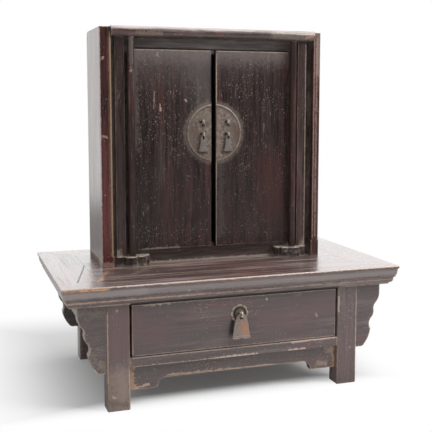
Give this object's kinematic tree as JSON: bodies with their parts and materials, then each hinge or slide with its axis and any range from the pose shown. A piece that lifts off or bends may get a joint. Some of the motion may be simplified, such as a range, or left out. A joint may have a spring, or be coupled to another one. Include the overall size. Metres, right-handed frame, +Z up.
{
  "type": "altar cabinet",
  "caption": "Shallow cupboard with two pivot-hung doors and a split round face plate, on a low moulded stand with legs, scalloped brackets and a drawer.",
  "frame": {"origin": "on the floor under the middle of the stand's top", "axes": "+Z up, the doors and drawer face -Y, +X to the right seen from the front"},
  "size_m": [0.54, 0.306, 0.5715],
  "materials": {
    "dark_lacquer": "worn semi-gloss near-black brown lacquer, bare tan wood on the edges",
    "red_lacquer": "worn semi-gloss oxblood lacquer, bare wood on the edges",
    "door_wood": "worn dark lacquer over vertical grain",
    "inner_wood": "unlacquered, aged and dusty",
    "plate_metal": "aged sheet with brown patina",
    "pin_wire": "rubbed bright wire",
    "pull_metal": "cast, brown patina"
  },
  "bodies": {
    "cabinet": {"apron": "dark_lacquer", "back_left_leg": "dark_lacquer", "back_left_spandrel": "dark_lacquer", "back_rail": "inner_wood", "back_right_leg": "dark_lacquer", "back_right_spandrel": "dark_lacquer", "base_rail": "dark_lacquer", "cabinet_floor": "inner_wood", "cabinet_top_board": "inner_wood", "drawer_rail": "dark_lacquer", "front_left_leg": "dark_lacquer", "front_left_spandrel": "dark_lacquer", "front_right_leg": "dark_lacquer", "front_right_spandrel": "dark_lacquer", "left_back_board": "inner_wood", "left_end_apron": "dark_lacquer", "left_jamb": "dark_lacquer", "left_pivot_block": "dark_lacquer", "left_runner": "inner_wood", "left_side_board": "red_lacquer", "left_side_panel": "dark_lacquer", "left_side_rail": "inner_wood", "lintel": "dark_lacquer", "panel_batten": "inner_wood", "right_back_board": "inner_wood", "right_end_apron": "dark_lacquer", "right_jamb": "dark_lacquer", "right_pivot_block": "dark_lacquer", "right_runner": "inner_wood", "right_side_board": "red_lacquer", "right_side_panel": "dark_lacquer", "right_side_rail": "inner_wood", "stand_back_panel": "inner_wood", "top_back_rail": "dark_lacquer", "top_front_rail": "dark_lacquer", "top_left_rail": "dark_lacquer", "top_panel": "dark_lacquer", "top_rail": "dark_lacquer", "top_right_rail": "dark_lacquer"},
    "left_door": {"left_door_board": "door_wood", "left_door_post": "red_lacquer", "left_face_plate": "plate_metal", "left_split_pins": "pin_wire"},
    "right_door": {"right_door_board": "door_wood", "right_door_post": "red_lacquer", "right_face_plate": "plate_metal", "right_split_pins": "pin_wire"},
    "left_pull": {"left_door_pull": "pull_metal"},
    "right_pull": {"right_door_pull": "pull_metal"},
    "drawer": {"drawer_front": "red_lacquer", "drawer_left_side": "inner_wood", "drawer_right_side": "inner_wood", "drawer_back": "inner_wood", "drawer_bottom": "inner_wood", "drawer_rosette": "plate_metal", "drawer_split_pin": "pin_wire"},
    "drawer_handle": {"drawer_pull": "pull_metal"}
  },
  "joints": [
    {"name": "left_door_hinge", "type": "hinge", "parent": "cabinet", "child": "left_door", "pos_m": [-0.1383, -0.0225, 0.382], "axis": [0, 0, -1], "range_deg": [0, 180]},
    {"name": "right_door_hinge", "type": "hinge", "parent": "cabinet", "child": "right_door", "pos_m": [0.1383, -0.0225, 0.382], "axis": [0, 0, 1], "range_deg": [0, 180]},
    {"name": "drawer_slide", "type": "slide", "parent": "cabinet", "child": "drawer", "axis": [0, -1, 0], "range_m": [0, 0.2]},
    {"name": "left_pull_swing", "type": "hinge", "parent": "left_door", "child": "left_pull", "pos_m": [-0.0186, -0.0197, 0.4012], "axis": [-1, 0, 0], "range_deg": [0, 80]},
    {"name": "right_pull_swing", "type": "hinge", "parent": "right_door", "child": "right_pull", "pos_m": [0.0244, -0.0197, 0.4012], "axis": [-1, 0, 0], "range_deg": [0, 80]},
    {"name": "drawer_pull_swing", "type": "hinge", "parent": "drawer", "child": "drawer_handle", "pos_m": [0.0024, -0.1421, 0.1315], "axis": [-1, 0, 0], "range_deg": [0, 80]}
  ]
}
